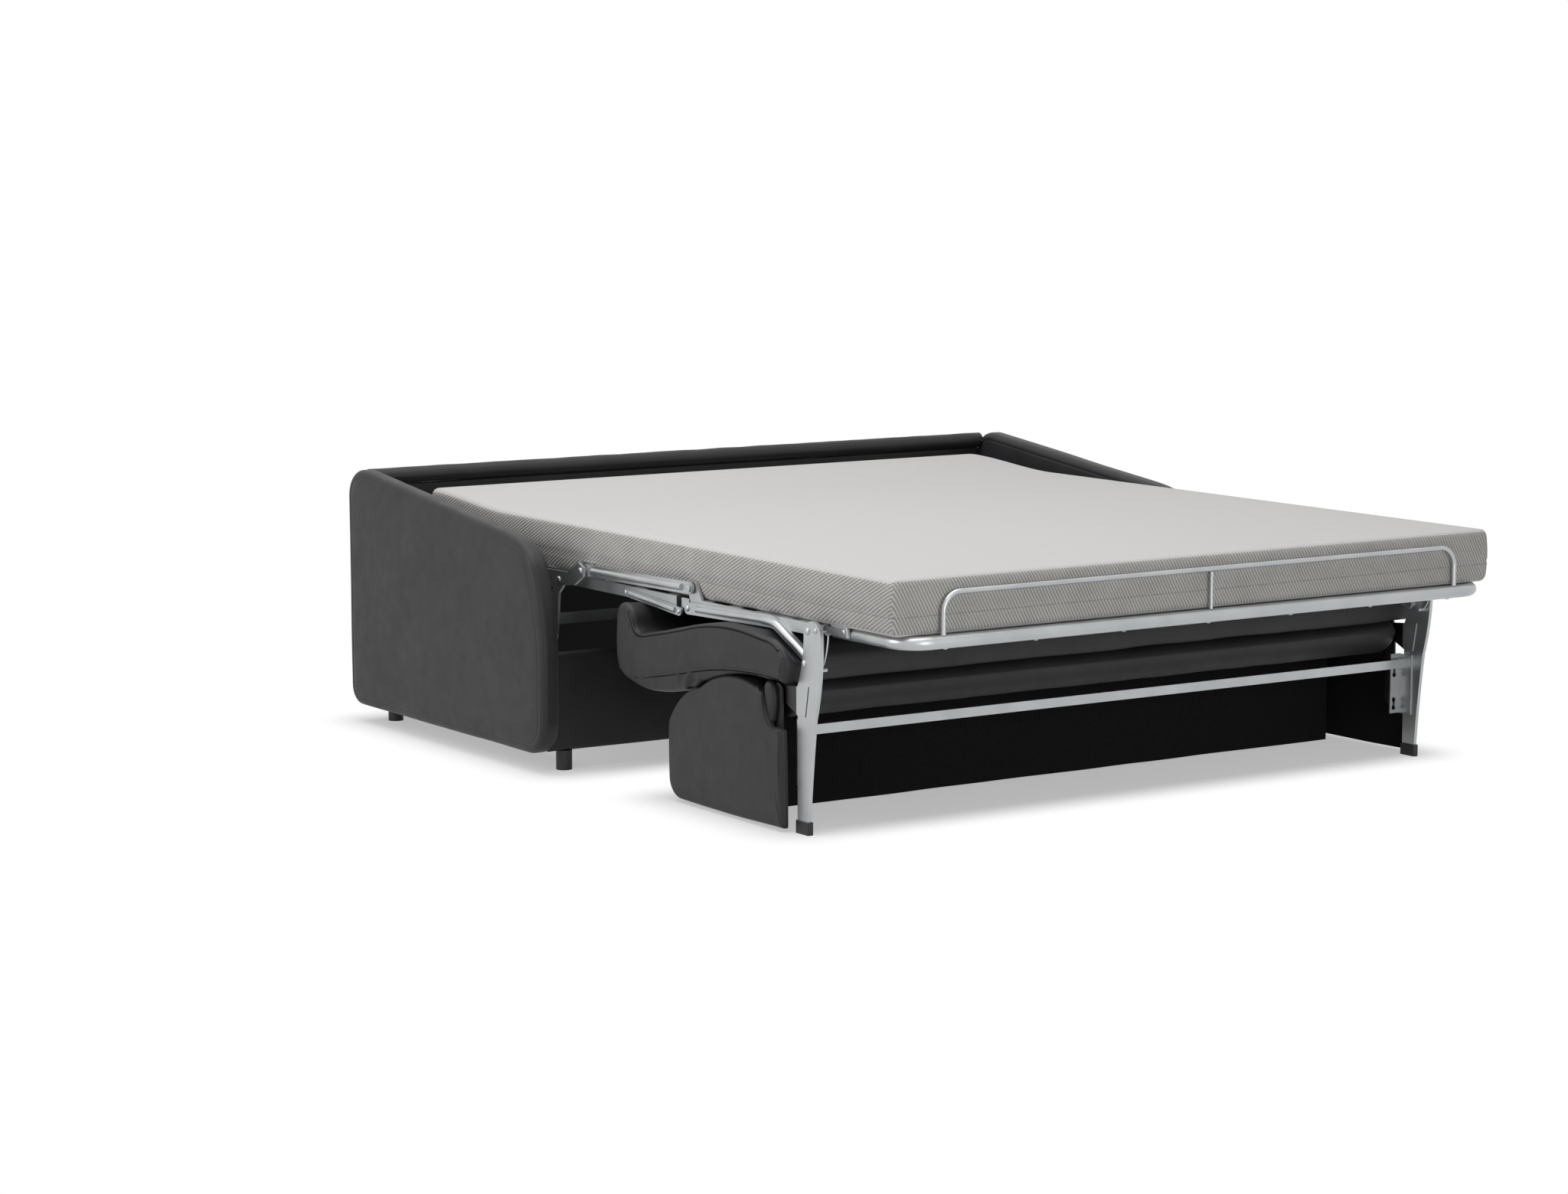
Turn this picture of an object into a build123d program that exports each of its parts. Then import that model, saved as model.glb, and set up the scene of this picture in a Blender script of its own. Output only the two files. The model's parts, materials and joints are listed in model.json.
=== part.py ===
# Sofa bed, shown open: a low upholstered base with curved arms carries a steel bed frame.
# The foot half of the bed folds up and over onto the middle; the seat cushion hangs under it
# and the hollow backrest is hinged below the seat, between two flat legs.
# Millimetres. X across, Y from the foot of the bed (-) to the sofa back (+), Z up from the floor.
import os
from math import atan2, degrees, dist
from build123d import *

os.makedirs("parts", exist_ok=True)

# Sofa base
half_width = 952
arm_thick = 48
arm_inner = half_width - arm_thick
base_bottom = 44
arm_front = 107
arm_back = 1026
arm_top = 607
arm_edge = 12
back_face = arm_back - 2
back_thick = 16
roll_top = 605
roll_size = 38
roll_radius = 17
plinth_front = 160
plinth_thick = 22
plinth_top = 264
plinth_edge = 4
foot_radius = 18
foot_places = {"front": 178, "back": 975}
foot_x = 857
rail_z = (base_bottom, 84)
rail_inner = 800
cross_bar_y = (262, 284)
cross_bar_z = (312, 334)

# Mattress
mattress_half = 800
mattress_z = (428, 545)
head_top = 570
mattress_edge = 14
mattress_ends = {
    "head": (361, 932),
    "middle": (-278.5, 359.5),
    "seat": (-740.5, -281.5),
    "foot": (-998, -741.5),
}
fold_relief = 30
relief_z = 458

# Steel frame, as distances from the middle plane
rail_in, rail_out = 803, 809
rail_low, rail_high = 404, 428
slat_z = (420, 428)
slat_half = 22
cross_half = 10
strap_thick = 6
rib_height = 3
bar_in, bar_out = 812, 818
bracket_in, bracket_out = 822, 828
boss_radius = 11
pin_radius = 6
pin_play = 0.05
pin_head = 9
head_gap = 0.5
bar_half = 13
strut_half = 9
rib_share = 0.45

# Bent tube at the foot and the wire hoop on it
tube_radius = 14
tube_z = 414
tube_half = 770
tube_front = -1005
tube_corner = 55
tube_back = -758
eye_half = 10
hoop_radius = 5.5
hoop_half = 686
hoop_top = 512
hoop_y = -1008
hoop_corner = 40
hoop_sink = 0.6
stay_radius = 4

# Fold axes and link ends as (Y, Z)
bar_pivot = (150, 445)
fold_pivot = (-280, 452)
foot_pivot = (-740, 414)
back_pivot = (-653, 286)
front_hub = (244, 416)
rear_hub = (725, 416)
strut_ends = ((-21, 415), (-236, 397))
link_route = ((-271, 408), (-600, 417), (-736, 349))
link_corner = 60

# Legs
leg_in, leg_out = 824, 832
leg_back = -713
cap_height = 26
cap_wrap = 3
hub_place = (-748, 416)
hub_post = 9
emboss_place = (-747, 272)
emboss_size = (66, 4)
emboss_tilt = 100
stub_place = (-775, 339)
stub_radius = 4
stub_length = 20
strip_y = (-714, -709)
strip_z = (198, 218)
plate_z = (94, 230)
plate_y = (-740, -698)
plate_thick = 3
plate_reach = 28
keyhole_z = (200, 125)
keyhole_radius = 6
keyhole_drop = 18
keyhole_sides = 12

# Seat and backrest
cushion_half = 862
cushion_edge = 16
end_scale = 0.96
seat_centre = (-380, 310)
shell_centre = (-470, 140)
link_slot = (805, 820)
link_slot_y = (-720, -390)
link_slot_z = 322
shell_inner = 846
pad_inner_z = 232
hollow_y = -495
pocket_y = -355
pocket_x = 790
pocket_z = 246
ear_slot = (819, 838)
ear_slot_y = -575
hinge_in, hinge_out = 836, 840
hinge_foot = (-656, 120)
hinge_half = 15
spacer_radius = 7

# Outlines are arcs: every second point lies in the middle of its arc
seat_outline = [
    (-58, 372), (-84, 396), (-112, 380), (-129, 353), (-160, 346), (-257, 365), (-354, 382),
    (-500, 412), (-644, 378), (-674, 371), (-700, 358), (-708, 331), (-700, 304), (-670, 308),
    (-640, 306), (-521, 304), (-386, 264), (-229, 227), (-95, 241), (-62, 258), (-50, 290), (-52, 330),
]
shell_outline = [
    (-264, 170), (-300, 216), (-386, 256), (-521, 294), (-620, 274), (-634, 242), (-652, 210), (-675, 211),
    (-694, 209), (-699, 110), (-700, 8), (-505, 6), (-310, 8), (-277, 22), (-264, 55), (-263, 112),
]


def side_plane(x):
    """Plane facing +X at the given X, drawn in (Y, Z)."""
    return Plane(origin=(x, 0, 0), x_dir=(0, 1, 0), z_dir=(1, 0, 0))


def save(piece, name):
    piece.part.label = name
    export_step(piece.part, f"parts/{name}.step")


def save_pair(piece, name):
    """Save a piece made on the right, and its mirror image on the left."""
    save(piece, f"{name}_right")
    with BuildPart() as other:
        mirror(piece.part, about=Plane.YZ)
    save(other, f"{name}_left")


def block(x, y, z, mode=Mode.ADD):
    """Box given by its limits on each axis."""
    centre = tuple((low + high) / 2 for low, high in (x, y, z))
    with Locations(centre):
        Box(x[1] - x[0], y[1] - y[0], z[1] - z[0], mode=mode)


def rod(place, x_low, x_high, radius):
    """Round bar across the sofa, centred on a (Y, Z) place."""
    with Locations(((x_low + x_high) / 2, *place)):
        Cylinder(radius, x_high - x_low, rotation=(0, 90, 0))


def strap(start, end, half):
    """Round-ended bar between two places of the sketch."""
    middle = tuple((a + b) / 2 for a, b in zip(start, end))
    angle = degrees(atan2(end[1] - start[1], end[0] - start[0]))
    with Locations(middle):
        SlotCenterToCenter(dist(start, end), 2 * half, rotation=angle)


def rib(start, end, half):
    """Square-ended bead between two places of the sketch, kept clear of both ends."""
    middle = tuple((a + b) / 2 for a, b in zip(start, end))
    angle = degrees(atan2(end[1] - start[1], end[0] - start[0]))
    with Locations(middle):
        Rectangle(dist(start, end) - 4 * half, 2 * half * rib_share, rotation=angle)


# Arms: one curved outline with softened edges
with BuildPart() as arm:
    with BuildSketch(side_plane(arm_inner)):
        with BuildLine():
            Line((arm_back, 92), (arm_back, 545))
            ThreePointArc((arm_back, 545), (1006, 589), (952, arm_top))
            slope = Line((952, arm_top), (300, 529))
            shoulder = TangentArc(slope @ 1, (215, 512), tangent=slope % 1)
            nose = TangentArc(shoulder @ 1, (150, 452), tangent=shoulder % 1)
            front = TangentArc(nose @ 1, (arm_front, 270), tangent=nose % 1)
            Line(front @ 1, (arm_front, 125))
            ThreePointArc((arm_front, 125), (127, 67), (185, base_bottom))
            Line((185, base_bottom), (978, base_bottom))
            ThreePointArc((978, base_bottom), (1012, 57), (arm_back, 92))
        make_face()
    extrude(amount=arm_thick)
    chamfer(arm.faces().filter_by(Axis.X).edges(), arm_edge)
save_pair(arm, "arm")

# Back panel and the padded roll along its top
across = (-arm_inner, arm_inner)
with BuildPart() as back_panel:
    block(across, (back_face - back_thick, back_face), (base_bottom, roll_top - roll_size))
save(back_panel, "back_panel")

with BuildPart() as back_roll:
    with BuildSketch(side_plane(-arm_inner)):
        with Locations((back_face - roll_size / 2, roll_top - roll_size / 2)):
            RectangleRounded(roll_size, roll_size, roll_radius)
    extrude(amount=2 * arm_inner)
save(back_roll, "back_roll")

# Front plinth, inner rails and the cross bar between the brackets
with BuildPart() as plinth:
    block(across, (plinth_front, plinth_front + plinth_thick), (base_bottom, plinth_top))
    chamfer(plinth.edges().filter_by(Axis.X), plinth_edge)
save(plinth, "front_plinth")

with BuildPart() as base_rail:
    block((rail_inner, arm_inner), (plinth_front + plinth_thick, back_face - back_thick), rail_z)
save_pair(base_rail, "base_rail")

with BuildPart() as cross_bar:
    block((-bracket_in, bracket_in), cross_bar_y, cross_bar_z)
save(cross_bar, "base_cross_bar")

# Feet
for where, foot_y in foot_places.items():
    with BuildPart() as foot:
        with BuildSketch():
            with Locations((foot_x, foot_y)):
                Circle(foot_radius)
        extrude(amount=base_bottom)
    save_pair(foot, f"foot_{where}")

# Front brackets: a lug that holds the upper bar, and a joggled post down to the base rail
with BuildPart() as front_bracket:
    with BuildSketch(side_plane(bracket_in)):
        with BuildLine():
            Polyline(
                (140, 432), (138, 452), (160, 462), (205, 436), (330, 434), (330, 404), (272, 395),
                (286, 300), (340, 225), (340, rail_z[1]), (296, rail_z[1]), (296, 215), (256, 290),
                (246, 385), (225, 404), (178, 410), close=True,
            )
        make_face()
    extrude(amount=bracket_out - bracket_in)
    rod(front_hub, rail_out, bracket_in, boss_radius)
save_pair(front_bracket, "front_bracket")

# Rear brackets: a tapered post under the head frame
with BuildPart() as rear_bracket:
    with BuildSketch(side_plane(bracket_in)):
        with BuildLine():
            Polyline(
                (690, rail_z[1]), (760, rail_z[1]), (740, 300), (740, rail_high),
                (710, rail_high), (710, 300), close=True,
            )
        make_face()
    extrude(amount=bracket_out - bracket_in)
    rod(rear_hub, rail_out, bracket_in, boss_radius)
save_pair(rear_bracket, "rear_bracket")


def bed_frame(y_low, y_high, bars, slats):
    """Two flat side rails, square cross bars and flat slats, welded together."""
    for x in ((-rail_out, -rail_in), (rail_in, rail_out)):
        block(x, (y_low, y_high), (rail_low, rail_high))
    for y in bars:
        block((-rail_in, rail_in), (y - cross_half, y + cross_half), (rail_low, slat_z[0]))
    for y in slats:
        block((-rail_in, rail_in), (y - slat_half, y + slat_half), slat_z)


# Head and middle frames stay on the base. The middle one holds the pins of the upper bars.
with BuildPart() as head_frame:
    bed_frame(362, 930, (390, 640, 915), (390, 500, 640, 780, 900))
save(head_frame, "head_frame")

with BuildPart() as middle_frame:
    bed_frame(-218, 358, (-205, 70, 335), (-190, -60, 70, 200, 330))
    for side in (-1, 1):
        ear_x = sorted((side * rail_in, side * rail_out))
        block(ear_x, (bar_pivot[0] - 22, bar_pivot[0] + 22), (rail_high - 10, bar_pivot[1] + 17))
        rod(bar_pivot, *sorted((side * rail_out, side * bracket_in)), pin_radius)
save(middle_frame, "middle_frame")

# Upper bars, stamped with a long rib: they lift the fold axis as the foot half comes over
with BuildPart() as upper_bar:
    with BuildSketch(side_plane(bar_in)):
        strap(bar_pivot, fold_pivot, bar_half)
        with Locations(fold_pivot, bar_pivot):
            Circle(pin_radius + pin_play, mode=Mode.SUBTRACT)
    extrude(amount=bar_out - bar_in)
    with BuildSketch(side_plane(bar_out)):
        rib(bar_pivot, fold_pivot, bar_half)
    extrude(amount=rib_height)
save_pair(upper_bar, "upper_bar")

# Struts riveted along the middle rails
with BuildPart() as strut:
    with BuildSketch(side_plane(rail_out)):
        strap(*strut_ends, strut_half)
    extrude(amount=strap_thick)
    with BuildSketch(side_plane(rail_out + strap_thick)):
        rib(*strut_ends, strut_half)
    extrude(amount=rib_height)
save_pair(strut, "strut")

# Seat frame: rails with risers that turn on the upper bars, and pins for the foot frame
with BuildPart() as seat_frame:
    bed_frame(-760, -300, (-320, -530, -700), (-320, -430, -530, -620, -695))
    for side in (-1, 1):
        with BuildSketch(side_plane(min(side * rail_in, side * rail_out))):
            with BuildLine():
                Polyline(
                    (-266, 440), (-266, 466), (-294, 466), (-318, rail_high),
                    (-318, rail_low), (-280, rail_low), close=True,
                )
            make_face()
        extrude(amount=rail_out - rail_in)
        head_x = bar_out + head_gap
        rod(fold_pivot, *sorted((side * rail_out, side * head_x)), pin_radius)
        rod(fold_pivot, *sorted((side * head_x, side * (head_x + rib_height))), pin_head)
        rod(foot_pivot, *sorted((side * (tube_half - eye_half - 2), side * rail_in)), pin_radius)
save(seat_frame, "seat_frame")

# Side links: straight and ribbed along the seat rail, then bent down to the leg
with BuildPart() as side_link:
    with BuildSketch(side_plane(rail_out)):
        with BuildLine() as link_line:
            FilletPolyline(*link_route, radius=link_corner)
        trace(link_line.line, line_width=2 * bar_half)
        with Locations(link_route[0], link_route[-1]):
            Circle(bar_half)
    extrude(amount=strap_thick)
    with BuildSketch(side_plane(rail_out + strap_thick)):
        with BuildLine() as rib_line:
            FilletPolyline((-310, 409), link_route[1], (-712, 361), radius=link_corner)
        trace(rib_line.line, line_width=2 * bar_half * rib_share)
    extrude(amount=rib_height)
    rod(link_route[-1], rail_out + strap_thick, leg_in, pin_radius + 2)
save_pair(side_link, "side_link")

# Legs: flat plates with a hub at the top, an embossed slot and an ear that carries the backrest
with BuildPart() as leg:
    with BuildSketch(side_plane(leg_in)):
        with BuildLine():
            ear_y = back_pivot[0] + 12
            Line((leg_back, cap_height), (leg_back, 240))
            Polyline((leg_back, 240), (ear_y, back_pivot[1] - 12), (ear_y, back_pivot[1] + 8), (-712, 300))
            ThreePointArc((-712, 300), (-728, 350), (-734, 405))
            ThreePointArc((-734, 405), (-764, 438), (-794, 408))
            ThreePointArc((-794, 408), (-790, 320), (-773, 238))
            ThreePointArc((-773, 238), (-760, 130), (-751, cap_height))
            Line((-751, cap_height), (leg_back, cap_height))
        make_face()
        with Locations(emboss_place):
            SlotOverall(*emboss_size, rotation=emboss_tilt, mode=Mode.SUBTRACT)
    extrude(amount=leg_out - leg_in)
    rod(hub_place, rail_out, leg_in, hub_post)
    rod(back_pivot, leg_out, shell_inner - 4, pin_radius)
    rod(stub_place, leg_in - stub_length, leg_in, stub_radius)
save_pair(leg, "leg")

with BuildPart() as leg_cap:
    block((leg_in - cap_wrap, leg_out + cap_wrap), (-755, leg_back + 4), (0, cap_height))
    chamfer(leg_cap.edges().filter_by(Axis.Z), 2)
save_pair(leg_cap, "leg_cap")

with BuildPart() as cross_strip:
    strip_end = leg_in - plate_thick
    block((-strip_end, strip_end), strip_y, strip_z)
save(cross_strip, "leg_cross_strip")

# Keyhole brackets: a flange on the inside of each leg and a plate with two keyholes
with BuildPart() as keyhole_bracket:
    block((leg_in - plate_thick, leg_in), plate_y, plate_z)
    plate_back = Plane(origin=(0, plate_y[1], 0), x_dir=(1, 0, 0), z_dir=(0, -1, 0))
    with BuildSketch(plate_back):
        with Locations((leg_in - plate_reach / 2, sum(plate_z) / 2)):
            Rectangle(plate_reach, plate_z[1] - plate_z[0])
        hole_x = leg_in - plate_reach / 2 - plate_thick
        for z in keyhole_z:
            with Locations((hole_x, z), (hole_x, z - keyhole_drop)):
                RegularPolygon(keyhole_radius, keyhole_sides, mode=Mode.SUBTRACT)
            with Locations((hole_x, z - keyhole_drop / 2)):
                Rectangle(keyhole_radius, keyhole_drop, mode=Mode.SUBTRACT)
    extrude(amount=plate_thick)
save_pair(keyhole_bracket, "keyhole_bracket")

# Foot frame: bent tube with eyes on the hinge pins, slats and the mattress hoop
with BuildPart() as foot_tube:
    with BuildLine() as tube_line:
        FilletPolyline(
            (-tube_half, tube_back, tube_z), (-tube_half, tube_front, tube_z),
            (tube_half, tube_front, tube_z), (tube_half, tube_back, tube_z), radius=tube_corner,
        )
    with BuildSketch(Plane(origin=tube_line.line @ 0, z_dir=tube_line.line % 0)):
        Circle(tube_radius)
    sweep()
    for side in (-1, 1):
        with BuildSketch(side_plane(side * tube_half - eye_half)):
            with BuildLine():
                Polyline(
                    (-770, tube_z - 8), (-770, tube_z + 8), (foot_pivot[0], foot_pivot[1] + 8),
                    (foot_pivot[0], foot_pivot[1] - 8), close=True,
                )
            make_face()
            with Locations(foot_pivot):
                Circle(2 * pin_radius)
            with Locations(foot_pivot):
                Circle(pin_radius + pin_play, mode=Mode.SUBTRACT)
        extrude(amount=2 * eye_half)
save(foot_tube, "foot_tube")

with BuildPart() as foot_slats:
    slat_reach = tube_half - tube_radius
    for y in (-790, -860, -925):
        block((-slat_reach, slat_reach), (y - slat_half, y + slat_half), (tube_z - 4, tube_z + 4))
save(foot_slats, "foot_slats")

with BuildPart() as hoop:
    hoop_foot = tube_z + tube_radius - hoop_sink
    with BuildLine() as hoop_line:
        FilletPolyline(
            (-hoop_half, hoop_y, hoop_foot), (-hoop_half, hoop_y, hoop_top),
            (hoop_half, hoop_y, hoop_top), (hoop_half, hoop_y, hoop_foot), radius=hoop_corner,
        )
    with BuildSketch(Plane(origin=hoop_line.line @ 0, z_dir=hoop_line.line % 0)):
        Circle(hoop_radius)
    sweep()
save(hoop, "mattress_hoop")

with BuildPart() as hoop_stay:
    with BuildSketch(Plane.XY.offset(tube_z + tube_radius)):
        with Locations((0, hoop_y)):
            Circle(stay_radius)
    extrude(amount=hoop_top - hoop_radius - tube_z - tube_radius)
save(hoop_stay, "hoop_stay")

# Mattress sections, softened along the sides; the two that fold together are relieved on top
for name, (y_low, y_high) in mattress_ends.items():
    with BuildPart() as mattress:
        with BuildSketch(side_plane(-mattress_half)):
            with BuildLine():
                low_relief = fold_relief if name == "middle" else 0
                high_relief = fold_relief if name == "seat" else 0
                end_top = head_top if name == "head" else mattress_z[1]
                Polyline(
                    (y_low, mattress_z[0]), (y_high, mattress_z[0]), (y_high, relief_z),
                    (y_high - high_relief, end_top), (y_low + low_relief, mattress_z[1]),
                    (y_low, relief_z), close=True,
                )
            make_face()
        extrude(amount=2 * mattress_half)
        long_edges = mattress.faces().filter_by(Axis.X).edges().sort_by(Axis.Z)
        chamfer(long_edges[:2] + long_edges[-2:], mattress_edge)
    save(mattress, f"mattress_{name}")


def drawn_in(outline, centre):
    """Loft an outline across the sofa, drawn in at both ends. Points are scaled about the centre."""
    stations = (
        (-cushion_half, end_scale),
        (-cushion_half + cushion_edge, 1),
        (cushion_half - cushion_edge, 1),
        (cushion_half, end_scale),
    )
    sections = []
    for x, scale in stations:
        points = [tuple(c + scale * (v - c) for v, c in zip(p, centre)) for p in outline]
        with BuildSketch(side_plane(x)) as section:
            with BuildLine():
                for start, middle, end in zip(points[0::2], points[1::2], points[2::2] + points[:1]):
                    ThreePointArc(start, middle, end)
            make_face()
        sections.append(section.sketch)
    loft(sections, ruled=True)


# Seat cushion: waterfall lip at one end, crowned face below, flat on top where the frame holds it
with BuildPart() as seat:
    drawn_in(seat_outline, seat_centre)
    split(bisect_by=Plane.XY.offset(rail_low), keep=Keep.BOTTOM)
    for side in (-1, 1):
        slot_x = sorted(side * x for x in link_slot)
        block(slot_x, link_slot_y, (link_slot_z, rail_high), mode=Mode.SUBTRACT)
save(seat, "seat_cushion")

# Backrest: padded shell, hollow towards the foot of the bed, with pockets for the legs
with BuildPart() as shell:
    drawn_in(shell_outline, shell_centre)
    shell_end, shell_low = -730, -2
    block((-shell_inner, shell_inner), (shell_end, hollow_y), (shell_low, pad_inner_z), mode=Mode.SUBTRACT)
    for side in (-1, 1):
        pocket = sorted((side * pocket_x, side * shell_inner))
        block(pocket, (shell_end, pocket_y), (shell_low, pocket_z), mode=Mode.SUBTRACT)
        ear_way = sorted(side * x for x in ear_slot)
        block(ear_way, (shell_end, ear_slot_y), (pad_inner_z, 320), mode=Mode.SUBTRACT)
save(shell, "backrest_shell")

# Hinge plates inside the backrest's side walls, on the ears of the legs
with BuildPart() as backrest_hinge:
    with BuildSketch(side_plane(hinge_in)):
        strap(hinge_foot, back_pivot, hinge_half)
        with Locations(back_pivot):
            Circle(pin_radius + pin_play, mode=Mode.SUBTRACT)
    extrude(amount=hinge_out - hinge_in)
    rod(hinge_foot, hinge_out, shell_inner, spacer_radius)
save_pair(backrest_hinge, "backrest_hinge")
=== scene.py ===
# %% [markdown]
# Sofa bed, opened out.
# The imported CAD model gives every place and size, in metres: X runs across the bed, Y from the foot
# of the bed (minus) to the sofa back (plus), and Z up from the floor.
# This lesson dresses that frame. The steel parts keep their CAD meshes and get a better finish.
# The soft parts are modelled again as what they are: stuffed leather, and a knitted mattress.

# %% load the frame
import json
from math import atan2, cos, hypot, pi, radians, sin

import bmesh
import bpy
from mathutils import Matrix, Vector, noise
from mathutils.bvhtree import BVHTree


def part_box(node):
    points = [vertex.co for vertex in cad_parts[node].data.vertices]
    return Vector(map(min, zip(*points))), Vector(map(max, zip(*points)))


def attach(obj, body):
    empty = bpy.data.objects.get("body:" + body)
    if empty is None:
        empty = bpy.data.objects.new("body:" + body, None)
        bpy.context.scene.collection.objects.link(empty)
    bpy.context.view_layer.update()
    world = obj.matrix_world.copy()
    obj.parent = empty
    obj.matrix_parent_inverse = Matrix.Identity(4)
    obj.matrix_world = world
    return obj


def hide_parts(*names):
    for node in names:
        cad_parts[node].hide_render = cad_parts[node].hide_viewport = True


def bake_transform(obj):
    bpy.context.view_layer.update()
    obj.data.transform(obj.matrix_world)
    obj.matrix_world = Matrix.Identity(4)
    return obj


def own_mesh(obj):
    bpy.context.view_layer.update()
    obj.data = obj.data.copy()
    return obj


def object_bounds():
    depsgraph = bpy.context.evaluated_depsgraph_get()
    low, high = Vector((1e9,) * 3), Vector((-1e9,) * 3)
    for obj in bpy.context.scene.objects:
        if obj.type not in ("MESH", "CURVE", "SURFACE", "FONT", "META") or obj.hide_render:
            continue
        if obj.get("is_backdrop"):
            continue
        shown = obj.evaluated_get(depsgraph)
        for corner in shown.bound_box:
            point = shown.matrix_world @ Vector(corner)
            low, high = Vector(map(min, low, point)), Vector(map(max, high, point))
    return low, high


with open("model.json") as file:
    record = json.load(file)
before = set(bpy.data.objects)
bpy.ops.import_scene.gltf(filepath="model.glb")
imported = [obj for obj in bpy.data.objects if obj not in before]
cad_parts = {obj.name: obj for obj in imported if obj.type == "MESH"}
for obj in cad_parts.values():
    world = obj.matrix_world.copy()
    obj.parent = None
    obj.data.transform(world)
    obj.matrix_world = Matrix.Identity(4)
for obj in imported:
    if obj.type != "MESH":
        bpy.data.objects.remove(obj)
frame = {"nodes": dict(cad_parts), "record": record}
cad_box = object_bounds()
print("nodes:", len(frame["nodes"]))

# %% [markdown]
# The camera stands at the foot of the bed, to the left, a little above the mattress.
# A long lens flattens the perspective. Its place was worked out from the straight edges in the
# photograph, so no shift is needed and the lens looks straight ahead.

# %% camera
camera_data = bpy.data.cameras.new("camera")
camera_data.lens = 84.35
camera_data.sensor_width = 36
camera = bpy.data.objects.new("camera", camera_data)
camera.location = (-4.9191, -6.778, 1.450)
camera.rotation_euler = (radians(82.4577), 0, radians(-33.7589))
bpy.context.scene.collection.objects.link(camera)
bpy.context.scene.camera = camera
bpy.context.scene.view_settings.view_transform = "Standard"
print("camera at", tuple(round(v, 3) for v in camera.location))

# %% [markdown]
# Finishes are node trees. Small helpers keep them readable: one turns a hex colour, as a paint chart
# gives it, into the linear numbers that a shader needs, one fills a node's inputs, and one adds a
# node and sets it up. Every pattern is drawn from a size in millimetres.

# %% helpers for the finishes
MM = 0.001
NOISE_LOW, NOISE_HIGH = NOISE_SPAN = (0.3, 0.7)


def hex_colour(text):
    """A hex colour as linear red, green, blue and alpha."""
    parts = [int(text[i:i + 2], 16) / 255 for i in (1, 3, 5)]
    return tuple(p / 12.92 if p <= 0.04045 else ((p + 0.055) / 1.055) ** 2.4 for p in parts) + (1.0,)


def fill(node, inputs):
    """Fill a node's inputs, each with a plain value or with the socket that feeds it."""
    for key, value in inputs.items():
        if isinstance(value, bpy.types.NodeSocket):
            node.id_data.links.new(value, node.inputs[key])
        else:
            node.inputs[key].default_value = value


def add_node(tree, kind, inputs=None, **settings):
    """Add a node with its settings and its inputs."""
    node = tree.nodes.new(kind)
    for key, value in settings.items():
        setattr(node, key, value)
    fill(node, inputs or {})
    return node


def new_finish(name):
    """An empty material, its node tree, its surface shader and its object coordinates."""
    finish = bpy.data.materials.new(name)
    finish.use_nodes = True
    tree = finish.node_tree
    shader = tree.nodes["Principled BSDF"]
    place = add_node(tree, "ShaderNodeTexCoord").outputs["Object"]
    return finish, tree, shader, place


def shades(tree, factor, dark, light, span=(0.0, 1.0)):
    """A ramp from one hex colour to another, over a span of the pattern that drives it."""
    ramp = add_node(tree, "ShaderNodeValToRGB", {"Fac": factor})
    for element, position, colour in zip(ramp.color_ramp.elements, span, (dark, light)):
        element.position = position
        element.color = hex_colour(colour)
    return ramp.outputs["Color"]


print("finish helpers ready")

# %% [markdown]
# The upholstery is corrected-grain leather, charcoal, with a satin top coat. The hide is pressed
# with a fine pebble, so the eye sees a soft broken highlight and small changes of tone where the
# hide is fuller. A cell pattern gives the pebbles and a slow noise gives the tone. Real pebbles are
# about 1 mm; they are drawn at 3 mm so that they still show at this distance.

# %% finish: satin leather
leather, tree, shader, place = new_finish("satin_grain_leather")
pebble = add_node(tree, "ShaderNodeTexVoronoi", {"Vector": place, "Scale": 1 / (3 * MM)}, feature="F1")
hide = add_node(tree, "ShaderNodeTexNoise", {"Vector": place, "Scale": 1 / (160 * MM), "Detail": 4.0})
crease = add_node(tree, "ShaderNodeTexNoise", {"Vector": place, "Scale": 1 / (35 * MM), "Detail": 5.0})
gloss = add_node(tree, "ShaderNodeMapRange", {
    "Value": crease.outputs["Fac"], "From Min": NOISE_LOW, "From Max": NOISE_HIGH,
    "To Min": 0.44, "To Max": 0.54})
slow = add_node(tree, "ShaderNodeBump", {
    "Height": crease.outputs["Fac"], "Strength": 0.10, "Distance": 2 * MM})
fine = add_node(tree, "ShaderNodeBump", {
    "Height": pebble.outputs["Distance"], "Strength": 0.12, "Distance": 0.5 * MM,
    "Normal": slow.outputs["Normal"]})
fill(shader, {
    "Base Color": shades(tree, hide.outputs["Fac"], "#222224", "#2a2a2c", NOISE_SPAN),
    "Roughness": gloss.outputs["Result"],
    "Normal": fine.outputs["Normal"],
    "IOR": 1.5,
    "Specular IOR Level": 0.3,
})
print("made", leather.name)

# %% [markdown]
# The inside of the hollow backrest is lined with black non-woven felt, as sofa makers use under
# their seats. It is matt and swallows light, with a faint mottling of its pressed fibres.

# %% finish: black lining felt
lining, tree, shader, place = new_finish("black_lining_felt")
fibre = add_node(tree, "ShaderNodeTexNoise", {"Vector": place, "Scale": 1 / (6 * MM), "Detail": 6.0})
felted = add_node(tree, "ShaderNodeBump", {
    "Height": fibre.outputs["Fac"], "Strength": 0.3, "Distance": 1 * MM})
fill(shader, {
    "Base Color": shades(tree, fibre.outputs["Fac"], "#0a0a0a", "#141414", NOISE_SPAN),
    "Normal": felted.outputs["Normal"],
    "Roughness": 0.95,
    "Specular IOR Level": 0.2,
})
print("made", lining.name)

# %% [markdown]
# The steel is cold-rolled strip and tube with a satin zinc-grey coat. It is smooth enough for long
# soft highlights along the tube, and slightly uneven where the coat is thicker. It is treated mostly
# as metal, with a middling roughness that a slow noise varies.

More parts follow.
